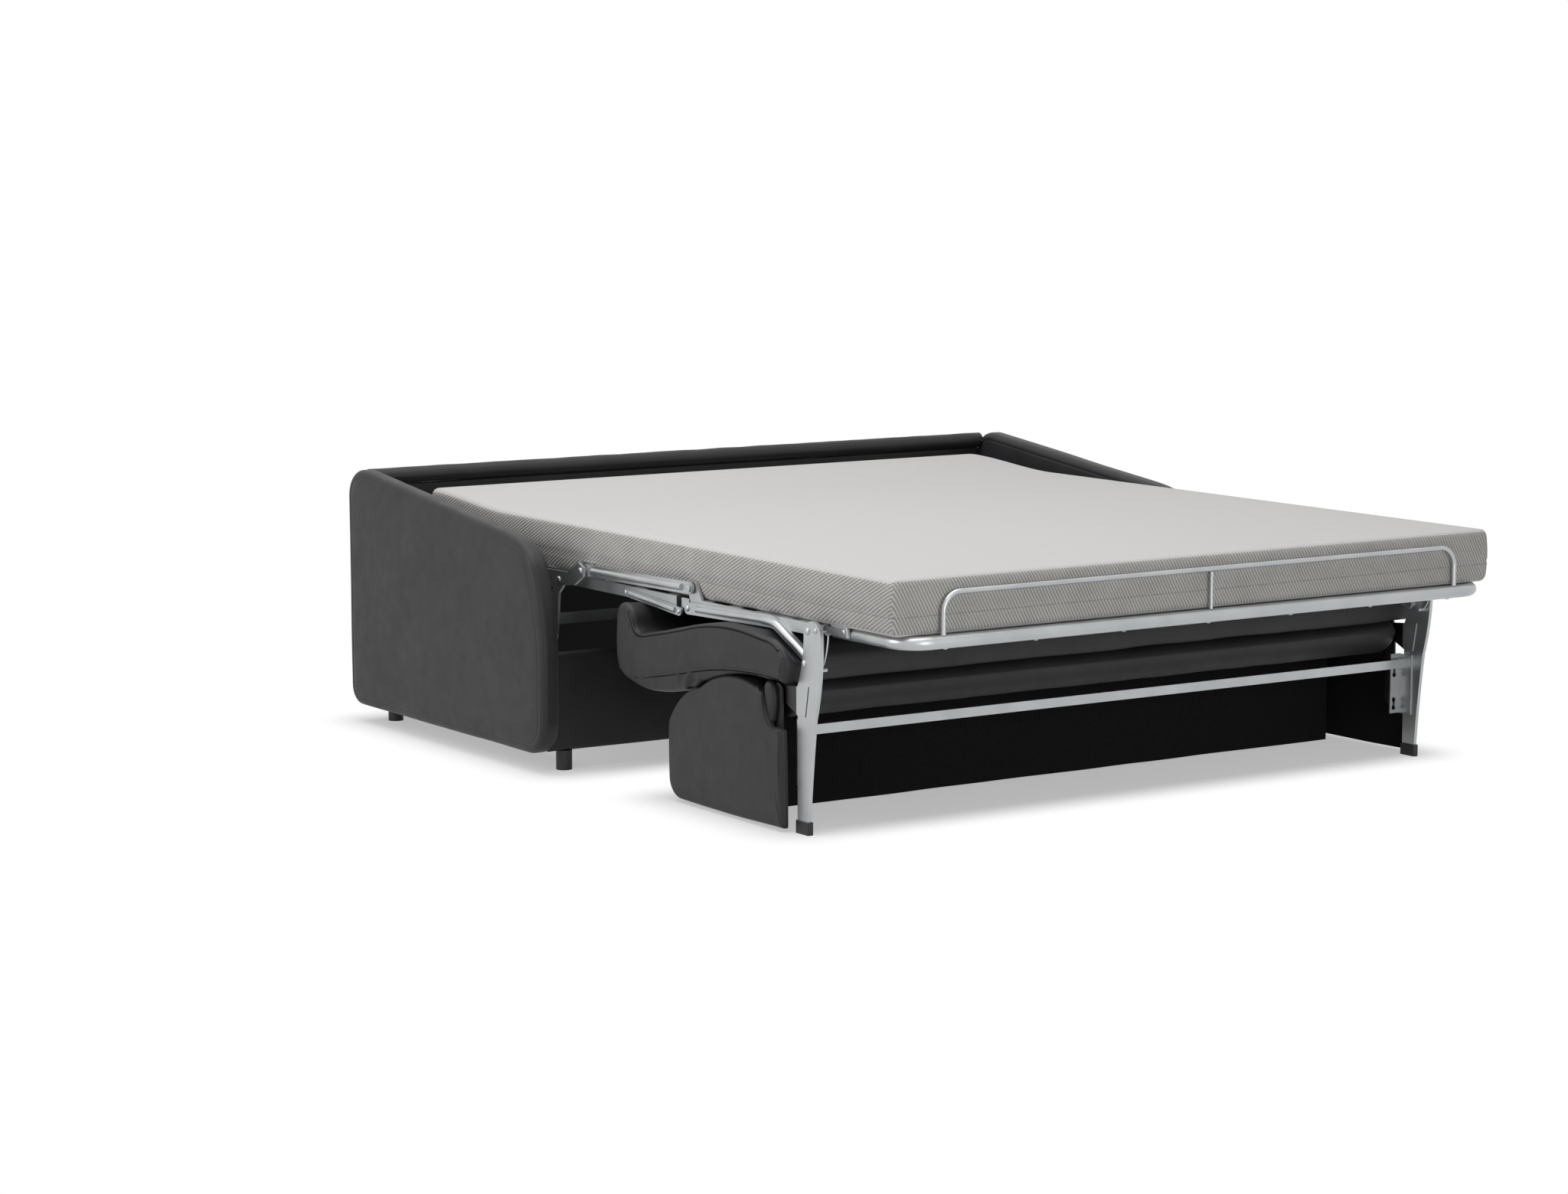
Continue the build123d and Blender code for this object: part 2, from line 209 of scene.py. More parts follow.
# %% finish: coated steel
metal_share = 0.8
steel, tree, shader, place = new_finish("satin_zinc_coated_steel")
coat = add_node(tree, "ShaderNodeTexNoise", {"Vector": place, "Scale": 1 / (90 * MM), "Detail": 3.0})
orange_peel = add_node(tree, "ShaderNodeTexNoise", {"Vector": place, "Scale": 1 / (4 * MM), "Detail": 2.0})
sheen = add_node(tree, "ShaderNodeMapRange", {
    "Value": coat.outputs["Fac"], "From Min": NOISE_LOW, "From Max": NOISE_HIGH,
    "To Min": 0.30, "To Max": 0.40})
peel = add_node(tree, "ShaderNodeBump", {
    "Height": orange_peel.outputs["Fac"], "Strength": 0.06, "Distance": 0.3 * MM})
fill(shader, {
    "Base Color": shades(tree, coat.outputs["Fac"], "#adb0b1", "#babdbe", NOISE_SPAN),
    "Roughness": sheen.outputs["Result"],
    "Normal": peel.outputs["Normal"],
    "Metallic": metal_share,
})
print("made", steel.name)

# %% [markdown]
# Feet and leg caps are moulded polypropylene, black, with the fine spark texture of the mould.
# The rails inside the base are beech, stained black, so only the long grain shows.

# %% finishes: black plastic and stained beech
plastic, tree, shader, place = new_finish("moulded_black_polypropylene")
spark = add_node(tree, "ShaderNodeTexNoise", {"Vector": place, "Scale": 1 / (1.5 * MM), "Detail": 2.0})
moulded = add_node(tree, "ShaderNodeBump", {
    "Height": spark.outputs["Fac"], "Strength": 0.15, "Distance": 0.3 * MM})
fill(shader, {
    "Base Color": shades(tree, spark.outputs["Fac"], "#141415", "#1c1c1d", NOISE_SPAN),
    "Normal": moulded.outputs["Normal"],
    "Roughness": 0.5,
})

beech, tree, shader, place = new_finish("black_stained_beech")
across_grain, along_grain = 1 / (4 * MM), 1 / (90 * MM)
drawn_out = add_node(tree, "ShaderNodeMapping", {
    "Vector": place, "Scale": (across_grain, along_grain, across_grain)})
grain = add_node(tree, "ShaderNodeTexNoise", {
    "Vector": drawn_out.outputs["Vector"], "Scale": 1.0, "Detail": 4.0})
fill(shader, {
    "Base Color": shades(tree, grain.outputs["Fac"], "#120f0d", "#241d18", (0.35, 0.65)),
    "Roughness": 0.6,
})
print("made", plastic.name, "and", beech.name)

# %% [markdown]
# The mattress cover is a double-knit polyester. Its top is smooth, with stitches so fine that only
# a faint weave is left. Its border is knitted with slanting ribs, wider apart along the sides than at
# the foot, and a row of running stitches crosses it. The ribs' light and shade is painted into the
# colour as painted highlight and painted shade, as well as raised by a bump; on the top it is faint.
# The pattern is laid out in the mesh's own UV map, in metres, so that it bends with the mattress when
# the bed folds.

# %% finishes: mattress knit, top and border
stitch_thick, stitch_half_pitch, stitch_gap = 1.1 * MM, 4.5 * MM, 1.6 * MM
loop_share, fluff_share, stitch_shade = 0.7, 0.9, -1.6
border_stitches, no_stitches = 0.467, -9.0


def knit(name, dark, light, rib_pitch, lean, depth, stitch_height=no_stitches):
    """Ribbed knit in UV metres: leaning ribs a pitch apart, their light and shade painted into the colour,
    loose fibres, and stitches at one height.
    """
    finish, tree, shader, _ = new_finish(name)
    sums = "ShaderNodeMath"
    flat = add_node(tree, "ShaderNodeUVMap", uv_map="metres").outputs["UV"]
    axes = add_node(tree, "ShaderNodeSeparateXYZ", {"Vector": flat}).outputs
    leaning = add_node(tree, sums, {0: axes["Y"], 1: lean, 2: axes["X"]}, operation="MULTIPLY_ADD")
    turns = add_node(tree, sums, {0: leaning.outputs[0], 1: 2 * pi / rib_pitch}, operation="MULTIPLY")
    ribs = add_node(tree, sums, {0: turns.outputs[0]}, operation="SINE")
    loops = add_node(tree, "ShaderNodeTexNoise", {"Vector": flat, "Scale": 1 / (5 * MM), "Detail": 1.0})
    weave = add_node(tree, sums, {0: loops.outputs["Fac"], 1: loop_share, 2: ribs.outputs[0]},
                     operation="MULTIPLY_ADD")
    fluff = add_node(tree, "ShaderNodeTexNoise", {"Vector": flat, "Scale": 1 / (60 * MM), "Detail": 4.0})
    mottled = add_node(tree, sums, {0: fluff.outputs["Fac"], 1: fluff_share, 2: weave.outputs[0]},
                       operation="MULTIPLY_ADD")
    row = add_node(tree, sums, {0: axes["Y"], 1: stitch_height, 2: stitch_thick}, operation="COMPARE")
    dashes = add_node(tree, sums, {0: axes["X"], 1: stitch_half_pitch}, operation="PINGPONG")
    stitch = add_node(tree, sums, {0: dashes.outputs[0], 1: stitch_gap}, operation="GREATER_THAN")
    sewn = add_node(tree, sums, {0: row.outputs[0], 1: stitch.outputs[0]}, operation="MULTIPLY")
    cloth = add_node(tree, sums, {0: sewn.outputs[0], 1: stitch_shade, 2: mottled.outputs[0]},
                     operation="MULTIPLY_ADD")
    # The colour follows the weave, so the ribs show in it as painted highlight and painted shade.
    tone = add_node(tree, "ShaderNodeMapRange", {
        "Value": cloth.outputs[0], "From Min": -0.5, "From Max": 1.9})
    relief = add_node(tree, "ShaderNodeBump", {
        "Height": weave.outputs[0], "Strength": depth, "Distance": 1.2 * MM})
    fill(shader, {
        "Base Color": shades(tree, tone.outputs["Result"], dark, light),
        "Normal": relief.outputs["Normal"],
        "Roughness": 0.9,
        "Sheen Weight": 0.15,
        "Specular IOR Level": 0.2,
    })
    return finish


# The border's dark and light ends carry the ribs' painted shade and painted highlight.
border = ("#84827f", "#c4c2bf")
knit_top = knit("smooth_polyester_knit", "#b9b8b6", "#c3c2c0", 7 * MM, 0.4, 0.10)
knit_side = knit("ribbed_polyester_knit", *border, 14.2 * MM, 1.84, 0.5, border_stitches)
knit_foot = knit("ribbed_polyester_knit_end", *border, 7.76 * MM, 0.55, 0.5, border_stitches)
print("made", knit_top.name, knit_side.name, knit_foot.name)

# %% [markdown]
# Most of the frame keeps its CAD mesh. Each node's finish follows the slot that the record gives
# it: steel, plastic or wood. The hinge plates inside the backrest are powder coated black, so that
# they do not shine out of the gap, and the ear of each leg that carries them is dipped in the same
# black. The soft slots are left out, because those nodes are replaced.

# %% finishes for the CAD nodes
SIDES = ((-1, "left"), (1, "right"))
ear_start = -708 * MM
slot_finish = {"steel": steel, "black_plastic": plastic, "rail_wood": beech}
painted = 0
for part in frame["record"]["subparts"]:
    if part["material_slot"] in slot_finish:
        node_mesh = frame["nodes"][part["node"]].data
        node_mesh.materials.clear()
        node_mesh.materials.append(slot_finish[part["material_slot"]])
        painted += 1
black_coat = plastic.copy()
black_coat.name = "black_powder_coated_steel"
dipped = steel.copy()
dipped.name = "zinc_coated_steel_with_dipped_ear"
tree = dipped.node_tree
shader = tree.nodes["Principled BSDF"]
place = add_node(tree, "ShaderNodeTexCoord").outputs["Object"]
axes = add_node(tree, "ShaderNodeSeparateXYZ", {"Vector": place}).outputs
ear = add_node(tree, "ShaderNodeMath", {0: axes["Y"], 1: ear_start}, operation="GREATER_THAN").outputs[0]
bare = shader.inputs["Base Color"].links[0].from_socket
coated = add_node(tree, "ShaderNodeMix", {0: ear, 6: bare, 7: hex_colour("#101010")}, data_type="RGBA")
metal = add_node(tree, "ShaderNodeMapRange", {"Value": ear, "To Min": metal_share, "To Max": 0.0})
fill(shader, {"Base Color": coated.outputs[2], "Metallic": metal.outputs["Result"]})
for _, word in SIDES:
    frame["nodes"][f"backrest_hinge_{word}"].data.materials[0] = black_coat
    frame["nodes"][f"leg_{word}"].data.materials[0] = dipped
print("finished", painted, "CAD nodes")

# %% [markdown]
# Upholstered parts are drawn as a side outline, in millimetres, and given thickness across the sofa.
# The outline is a chain of arcs, as a pattern cutter draws it: every second point lies in the
# middle of its arc. It is then sampled at even steps, which gives neat rows of faces.

# %% helpers for outlines
outline_points = 240


def arc_chain(points, steps=12):
    """Points along a closed chain of arcs, (start, middle, end) sharing ends."""
    chain = []
    for a, b, c in zip(points[0::2], points[1::2], points[2::2] + points[:1]):
        d = 2 * (a[0] * (b[1] - c[1]) + b[0] * (c[1] - a[1]) + c[0] * (a[1] - b[1]))
        nearly_straight = 1e-3 * hypot(c[0] - a[0], c[1] - a[1])
        if abs(d) < nearly_straight:
            chain += [(a[0] + (c[0] - a[0]) * i / steps, a[1] + (c[1] - a[1]) * i / steps)
                      for i in range(steps)]
            continue
        squares = [p[0] ** 2 + p[1] ** 2 for p in (a, b, c)]
        y0 = (squares[0] * (b[1] - c[1]) + squares[1] * (c[1] - a[1]) + squares[2] * (a[1] - b[1])) / d
        z0 = (squares[0] * (c[0] - b[0]) + squares[1] * (a[0] - c[0]) + squares[2] * (b[0] - a[0])) / d
        radius = hypot(a[0] - y0, a[1] - z0)
        start, middle, end = (atan2(p[1] - z0, p[0] - y0) for p in (a, b, c))
        turn = (end - start) % (2 * pi)
        if (middle - start) % (2 * pi) > turn:
            turn -= 2 * pi
        chain += [(y0 + radius * cos(start + turn * i / steps), z0 + radius * sin(start + turn * i / steps))
                  for i in range(steps)]
    return chain


def even_loop(points, count, first):
    """The closed chain at even steps, starting at the point nearest to first."""
    start = min(range(len(points)), key=lambda i: hypot(points[i][0] - first[0], points[i][1] - first[1]))
    ring = points[start:] + points[:start]
    lengths = [hypot(b[0] - a[0], b[1] - a[1]) for a, b in zip(ring, ring[1:] + ring[:1])]
    step, loop, i, run = sum(lengths) / count, [], 0, 0.0
    for k in range(count):
        while run + lengths[i] < k * step:
            run += lengths[i]
            i += 1
        t = (k * step - run) / lengths[i]
        a, b = ring[i], ring[(i + 1) % len(ring)]
        loop.append((a[0] + t * (b[0] - a[0]), a[1] + t * (b[1] - a[1])))
    return loop


def shrink(loop, inset):
    """The loop moved inwards by the inset, along its own normals."""
    area = sum(a[0] * b[1] - b[0] * a[1] for a, b in zip(loop, loop[1:] + loop[:1]))
    side = 1 if area > 0 else -1
    moved = []
    for i, p in enumerate(loop):
        a, b = loop[i - 2], loop[(i + 2) % len(loop)]
        reach = hypot(b[0] - a[0], b[1] - a[1]) or 1
        y = p[0] - side * inset * (b[1] - a[1]) / reach
        z = p[1] + side * inset * (b[0] - a[0]) / reach
        moved.append((y, z))
    return moved


print("outline helpers ready")

# %% [markdown]
# A stuffed form is built from rings. Each ring is the outline at one place across the sofa, moved in
# a little where the edge is rounded. The two ends are filled like a ladder: each point of the last
# ring is joined to the one facing it, with rungs in between that swell into a soft crown.

# %% helpers for stuffed forms
def new_piece(name, points, faces, finishes):
    """A smooth mesh object, from points in metres and faces."""
    mesh = bpy.data.meshes.new(name)
    mesh.from_pydata(points, [], faces)
    mesh.update()
    for finish in finishes:
        mesh.materials.append(finish)
    for polygon in mesh.polygons:
        polygon.use_smooth = True
    piece = bpy.data.objects.new(name, mesh)
    bpy.context.scene.collection.objects.link(piece)
    work = bmesh.new()
    work.from_mesh(mesh)
    bmesh.ops.recalc_face_normals(work, faces=work.faces)
    work.to_mesh(mesh)
    work.free()
    return piece


def mirrored(side):
    """A placing function: millimetres to metres, on one side of the sofa."""
    return lambda x, y, z: (side * x * MM, y * MM, z * MM)


def ring_faces(rings, count):
    """Faces that join each ring of points to the next one."""
    faces = []
    for r in range(rings - 1):
        for i in range(count):
            j = (i + 1) % count
            faces.append((r * count + i, r * count + j, (r + 1) * count + j, (r + 1) * count + i))
    return faces


def stuffed(name, outline, rings, crown, finishes, rungs=10, place=None):
    """A closed form from rings of one outline, each (across, inset) in millimetres, with crowned ends."""
    place = place or mirrored(1)
    count = len(outline)
    points = []
    for x, inset in rings:
        points += [place(x, y, z) for y, z in shrink(outline, inset)]
    faces = ring_faces(len(rings), count)
    half = count // 2
    for r, outward in ((0, -1), (len(rings) - 1, 1)):
        x, inset = rings[r]
        ring = shrink(outline, inset)
        rows = [[r * count] * (rungs + 1)]
        for i in range(1, half):
            (ya, za), (yb, zb) = ring[i], ring[count - i]
            row = [r * count + i]
            for k in range(1, rungs):
                v, u = k / rungs, i / half
                swell = crown * outward * sin(pi * v) ** 0.7 * sin(pi * u) ** 0.5
                points.append(place(x + swell, ya + v * (yb - ya), za + v * (zb - za)))
                row.append(len(points) - 1)
            rows.append(row + [r * count + count - i])
        rows.append([r * count + half] * (rungs + 1))
        for low, high in zip(rows, rows[1:]):
            for k in range(rungs):
                corners = [low[k], low[k + 1], high[k + 1], high[k]]
                face = [c for n, c in enumerate(corners) if c not in corners[:n]]
                if len(face) > 2:
                    faces.append(face)
    return new_piece(name, points, faces, finishes)


def quarter_turn(steps):
    """Angles from nought to a right angle, in even steps."""
    return [pi / 2 * i / steps for i in range(steps + 1)]


def rounded_edge(x_low, x_high, edge, steps=5, between=1):
    """Rings across a form whose two edges are rounded: (across, inset) from one face to the other."""
    arc = [(edge * (1 - cos(a)), edge * (1 - sin(a))) for a in quarter_turn(steps)]
    span = x_high - x_low - 2 * edge
    first = [(x_low + x, inset) for x, inset in arc]
    middle = [(x_low + edge + span * i / between, 0.0) for i in range(1, between)]
    last = [(x_high - x, inset) for x, inset in arc[::-1]]
    return first + middle + last


def soften(piece, size, depth, seed=0.0):
    """Move each point along its normal by a slow noise, so that no face is dead flat."""
    mesh = piece.data
    shifts = [depth * MM * noise.noise(v.co / (size * MM) + Vector((seed, 0, 0))) for v in mesh.vertices]
    normals = [v.normal.copy() for v in mesh.vertices]
    for v, normal, shift in zip(mesh.vertices, normals, shifts):
        v.co += normal * shift
    mesh.update()


def welt(name, path, radius, body, finish=leather):
    """A thin round cord or rod along a smooth line through points in metres, riding on a body."""
    curve = bpy.data.curves.new(name, "CURVE")
    curve.dimensions = "3D"
    curve.bevel_depth = radius * MM
    curve.bevel_resolution = 3
    curve.use_fill_caps = True
    spline = curve.splines.new("NURBS")
    spline.points.add(len(path) - 1)
    for point, co in zip(spline.points, path):
        point.co = (*co, 1)
    spline.order_u = 3
    spline.use_endpoint_u = True
    tube = bpy.data.objects.new(name, curve)
    bpy.context.scene.collection.objects.link(tube)
    mesh = bpy.data.meshes.new_from_object(tube)
    mesh.name = name
    bpy.data.objects.remove(tube)
    bpy.data.curves.remove(curve)
    mesh.materials.clear()
    mesh.materials.append(finish)
    for polygon in mesh.polygons:
        polygon.use_smooth = True
    piece = bpy.data.objects.new(name, mesh)
    bpy.context.scene.collection.objects.link(piece)
    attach(piece, body)
    return piece


def skin_of(piece):
    """A search tree of the piece's faces, for finding points on its surface."""
    points = [v.co for v in piece.data.vertices]
    return BVHTree.FromPolygons(points, [f.vertices for f in piece.data.polygons])


def on_side(skin, places, side, sink=0.4):
    """Points on a side face at (Y, Z) places in millimetres, found by looking in from that side."""
    well_outside = 1.2
    inward = Vector((-side, 0, 0))
    hits = [skin.ray_cast(Vector((side * well_outside, y * MM, z * MM)), inward)[0] for y, z in places]
    return [(hit.x - side * sink * MM, hit.y, hit.z) for hit in hits if hit]


print("stuffing helpers ready")

# %% [markdown]
# Each arm is a padded board: one large side panel on each face, joined by a band that runs round
# the edge. The seam between panel and band lies about 20 mm in from the edge, as a narrow groove.
# Cutting the groove into the rings keeps it crisp and costs only two rings.

# %% arms
arm_outline = even_loop(arc_chain([
    (1026, 92), (1026, 318), (1026, 545), (1006, 589), (952, 607), (626, 568), (300, 529), (257, 522),
    (215, 512), (175, 490), (150, 452), (122, 362), (107, 270), (107, 198), (107, 125), (127, 67),
    (185, 44), (581, 44), (978, 44), (1012, 57),
]), outline_points, (1026, 92))
arm_in, arm_out, arm_edge, groove = 904, 952, 15, 0.6
arm_rings = rounded_edge(arm_in, arm_out, arm_edge, 6, 3)
near_seam = [(arm_out + 0.2, 18), (arm_out - groove, 19.5), (arm_out + 0.3, 21), (arm_out + 0.8, 26)]
far_seam = [(arm_in - 0.4, 26), (arm_in - 0.2, 21), (arm_in + groove, 19.5), (arm_in, 18)]
for side, name in ((1, "arm_right"), (-1, "arm_left")):
    arm = stuffed(f"{name}_upholstery", arm_outline, far_seam + arm_rings + near_seam, 2, [leather], 14,
                  mirrored(side))
    soften(arm, 170, 1.0, side * 3.0)
    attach(arm, "base")
    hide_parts(name)
    print(arm.name, len(arm.data.polygons), "faces")

# %% [markdown]
# The back is a thin covered panel with a padded roll along its top, and the front plinth is a
# covered board. Both boards are stuffed forms lying across the sofa, so the same helper builds them
# with its axes exchanged. The roll is a rounded bar whose leather wanders a little along its length.

# %% back panel, roll and plinth
per_edge = 40
roll_sides, roll_steps = 32, 110


def board(name, node, body, edge, crown):
    """A covered board with soft edges, in the place of its CAD node."""
    low, high = (tuple(v * 1000 for v in corner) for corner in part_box(node))
    corners = [(low[0], low[2]), (high[0], low[2]), (high[0], high[2]), (low[0], high[2])]
    outline = []
    for (xa, za), (xb, zb) in zip(corners, corners[1:] + corners[:1]):
        outline += [(xa + (xb - xa) * i / per_edge, za + (zb - za) * i / per_edge)
                    for i in range(per_edge)]
    loop = even_loop(outline, outline_points, corners[0])
    piece = stuffed(name, loop, rounded_edge(low[1], high[1], edge, 4, 2), crown, [leather], 12,
                    lambda x, y, z: (y * MM, x * MM, z * MM))
    soften(piece, 220, 1.5)
    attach(piece, body)
    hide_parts(node)
    print(piece.name, len(piece.data.polygons), "faces")


board("back_panel_cover", "back_panel", "base", 6, 1)
board("front_plinth_cover", "front_plinth", "base", 8, 1)

roll_low, roll_high = (tuple(v * 1000 for v in corner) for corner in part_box("back_roll"))
roll_y, roll_z = (roll_low[1] + roll_high[1]) / 2, (roll_low[2] + roll_high[2]) / 2
roll_radius = (roll_high[2] - roll_low[2]) / 2
roll_length = roll_high[0] - roll_low[0]
turns = [2 * pi * i / roll_sides for i in range(roll_sides)]
roll_outline = [(roll_y + roll_radius * cos(a), roll_z + roll_radius * sin(a)) for a in turns]
roll_rings = [(roll_low[0] + roll_length * i / roll_steps, 0.0) for i in range(roll_steps + 1)]
roll = stuffed("back_roll_cover", roll_outline, roll_rings, 0, [leather], 4)
soften(roll, 60, 1.2)
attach(roll, "base")
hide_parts("back_roll")
print(roll.name, len(roll.data.polygons), "faces")

# %% [markdown]
# The mattress is foam in a knitted cover: two pieces, split where the bed folds up and over. In the
# real bed the foot piece bends once more at the foot hinge; here it is one straight mesh over both steel
# sections.
# Each is a loft of rounded rectangles along the bed. The UV map is laid in metres, flat on each side.

# %% mattress
mattress_half, mattress_low, mattress_edge = 800, 428, 17
level_top, head_rise, rise_start, rise_length = 543, 21, 540, 340
across_steps, side_steps, stitch_row = 14, 12, 4
side_bulge, stitch_sink = 3.0, 2.2
flat_rim, end_steps = 14, 7


def mattress_top(y):
    """Height of the top along the bed: level, then rising gently towards the head."""
    t = min(max((y - rise_start) / rise_length, 0), 1)
    return level_top + head_rise * t * t * (3 - 2 * t)


def mattress_section(y, draw_in, drop):
    """Half a section as (x, z) points, from the middle of the bottom round to the middle of the top."""
    top, half = mattress_top(y) - drop, mattress_half - draw_in
    low, edge = mattress_low + drop, mattress_edge
    points = [(half * i / across_steps, low) for i in range(across_steps)]
    points += [(half - edge + edge * sin(a), low + edge - edge * cos(a)) for a in quarter_turn(5)]
    side_low, side_high = low + edge, top - edge
    for i in range(1, side_steps):
        z = side_low + (side_high - side_low) * i / side_steps
        bulge = side_bulge * sin(pi * i / side_steps) - (stitch_sink if i == stitch_row else 0)
        points.append((half + bulge, z))
    points += [(half - edge + edge * cos(a), top - edge + edge * sin(a)) for a in quarter_turn(6)]
    points += [((half - edge) * (1 - i / across_steps), top) for i in range(1, across_steps + 1)]
    return points


def mattress_piece(name, stations):
    """Loft the sections along the bed, close both ends and lay the UV map."""
    points, rows = [], []
    for y, draw_in, drop in stations:
        half = mattress_section(y, draw_in, drop)
        section = half + [(-x, z) for x, z in half[-2:0:-1]]
        rows.append(list(range(len(points), len(points) + len(section))))
        points += [(x * MM, y * MM, z * MM) for x, z in section]
    count = len(rows[0])
    middle = count // 2
    faces = ring_faces(len(rows), count)
    for row in (rows[0], rows[-1]):
        faces += [(row[i], row[i + 1], row[count - i - 1], row[(count - i) % count])
                  for i in range(1, middle - 1)]
        faces += [(row[0], row[1], row[count - 1]), (row[middle - 1], row[middle], row[middle + 1])]
    piece = new_piece(name, points, faces, [knit_top, knit_side, knit_foot])
    flat = piece.data.uv_layers.new(name="metres")
    for polygon in piece.data.polygons:
        n = polygon.normal
        kind = 0 if abs(n.z) > 0.6 else 1 if abs(n.x) > abs(n.y) else 2
        polygon.material_index = kind
        for loop in polygon.loop_indices:
            co = piece.data.vertices[piece.data.loops[loop].vertex_index].co
            flat.data[loop].uv = ((co.x, co.y), (co.y, co.z), (co.x, co.z))[kind]
    piece.data.set_sharp_from_angle(angle=radians(50))
    print(name, len(faces), "faces")
    return piece


def end_rounding(y, inward, corner, edge):
    """Stations that round off one end: the corners seen from above, and the edges seen from the side."""
    arc = [(y + inward * corner * (1 - cos(a)), corner * (1 - sin(a)), edge * (1 - sin(a)))
           for a in quarter_turn(end_steps)]
    return [(y, corner + flat_rim, edge + flat_rim)] + arc


fold_y, fold_gap, fold_step = -280, 0.1, 8
head_reach, head_steps = 860, 60
foot_start, foot_steps = -980, 70
upper = [(fold_y + fold_gap, 0.0, 0.0)]
upper += [(fold_y + fold_step + (head_reach - fold_y) * i / head_steps, 0.0, 0.0)
          for i in range(head_steps + 1)]
upper += end_rounding(922, -1, 50, 22)[::-1]
mattress_upper = mattress_piece("mattress_upper", upper)
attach(mattress_upper, "base")
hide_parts("mattress_head", "mattress_middle")

lower = end_rounding(-998, 1, 13, 13)
lower += [(foot_start + (fold_y - fold_step - foot_start) * i / foot_steps, 0.0, 0.0)
          for i in range(foot_steps + 1)]
lower += [(fold_y - fold_gap, 0.0, 0.0)]
mattress_lower = mattress_piece("mattress_lower", lower)
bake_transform(mattress_lower)
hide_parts("mattress_seat", "mattress_foot")

# %% [markdown]
# The seat cushion hangs face down under the foot half of the bed, so what shows is its side panel,
# its rounded front lip and its crowned sitting face below. It is the largest stuffed form here.
# The lower face creases where the backrest presses up against it. The panel's seams are fine welts,
# each with a thin cord of black felt sunk beside it: a painted shade for the crease where the stitches
# pull the leather in.

# %% seat cushion
seat_outline = even_loop(arc_chain([
    (-52, 375), (-64, 397), (-88, 402), (-110, 391), (-122, 366), (-133, 347), (-152, 343), (-235, 359),
    (-321, 377), (-490, 402), (-632, 392), (-685, 380), (-707, 357), (-709, 330), (-700, 304), (-670, 308),
    (-640, 306), (-521, 302), (-386, 264), (-229, 227), (-95, 238), (-62, 258), (-51, 292), (-50, 330),
]), outline_points, (-50, 330))
wrinkle_y, wrinkle_z, wrinkle_long, wrinkle_high = -355, 268, 62, 26
wrinkle_depth, wrinkle_lean, wrinkle_pitch = 0.006, 0.9, 37
sides_from, sides_over = 0.76, 0.08
link_low, link_high = 0.796, 0.838
link_under, link_slope, link_bend_y, upper_face = 399, 0.45, 590, 320
seat = stuffed("seat_cushion_cover", seat_outline, rounded_edge(-862, 862, 13, 6, 70), 5, [leather], 12)
soften(seat, 120, 2.5, 5.0)
for v in seat.data.vertices:
    y, z = v.co.y * 1000, v.co.z * 1000
    near_side = min(max((abs(v.co.x) - sides_from) / sides_over, 0), 1)
    away = hypot((y - wrinkle_y) / wrinkle_long, (z - wrinkle_z) / wrinkle_high)
    pressed = near_side * max(0.0, 1 - away)
    v.co += v.normal * wrinkle_depth * pressed * sin((y + wrinkle_lean * z) * 2 * pi / wrinkle_pitch)
    if link_low < abs(v.co.x) < link_high:
        under_link = link_under - link_slope * max(0, -y - link_bend_y)
        v.co.z = min(z, under_link if z > upper_face else z) * MM
seat.data.update()
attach(seat, "seat_section")
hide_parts("seat_cushion")
print(seat.name, len(seat.data.polygons), "faces")

upper_seam = [(y, z) for y, z in shrink(seat_outline, 5) if z > 335 and -692 < y < -104][::4]
lower_seam = [(-66, 262), (-94, 247), (-160, 251), (-219, 262), (-300, 277), (-371, 292), (-445, 306),
              (-520, 314), (-600, 318), (-660, 318), (-688, 316)]
rear_seam = [(-700, 360), (-697, 345), (-692, 330), (-688, 314)]
seat_skin = skin_of(seat)
for side, word in SIDES:
    for label, places in (("upper", upper_seam), ("lower", lower_seam), ("rear", rear_seam)):
        welt(f"seat_seam_{label}_{word}", on_side(seat_skin, places, side, 0.4), 2.2, "seat_section")
        # Beside each welt lies a thin cord of black felt, sunk into the leather: a painted shade that
        # darkens the crease where the stitches pull the leather in.
        beside = [(y + 1.5, z - 3.2) for y, z in places]
        sunk = on_side(seat_skin, beside, side, 1.0)
        welt(f"seat_crease_{label}_{word}", sunk, 1.8, "seat_section", lining)

# %% [markdown]
# The backrest is a padded shell, hollow towards the foot of the bed. It starts as a stuffed form,
# and a boolean then cuts the hollow, because that leaves clean walls at the rim. The cutter brings
# the black lining with it, so the inside gets its own finish.

# %% backrest
shell_outline = even_loop(arc_chain([
    (-264, 170), (-300, 217), (-386, 258), (-521, 298), (-618, 277), (-632, 244), (-651, 210), (-675, 211),
    (-694, 209), (-699, 110), (-700, 8), (-505, 6), (-310, 8), (-277, 22), (-264, 55), (-263, 112),
]), outline_points, (-263, 112))
shell = stuffed("backrest_shell_cover", shell_outline, rounded_edge(-862, 862, 10, 6, 70), 2, [leather], 10)
soften(shell, 140, 1.2, 9.0)


def cutter_box(name, x, y, z):
    """A lined box that the hollow is cut with, limits in millimetres."""
    corners = [(a * MM, b * MM, c * MM) for a in x for b in y for c in z]
    box_faces = [(0, 1, 3, 2), (4, 6, 7, 5), (0, 4, 5, 1), (2, 3, 7, 6), (0, 2, 6, 4), (1, 5, 7, 3)]
    return new_piece(name, corners, box_faces, [lining])


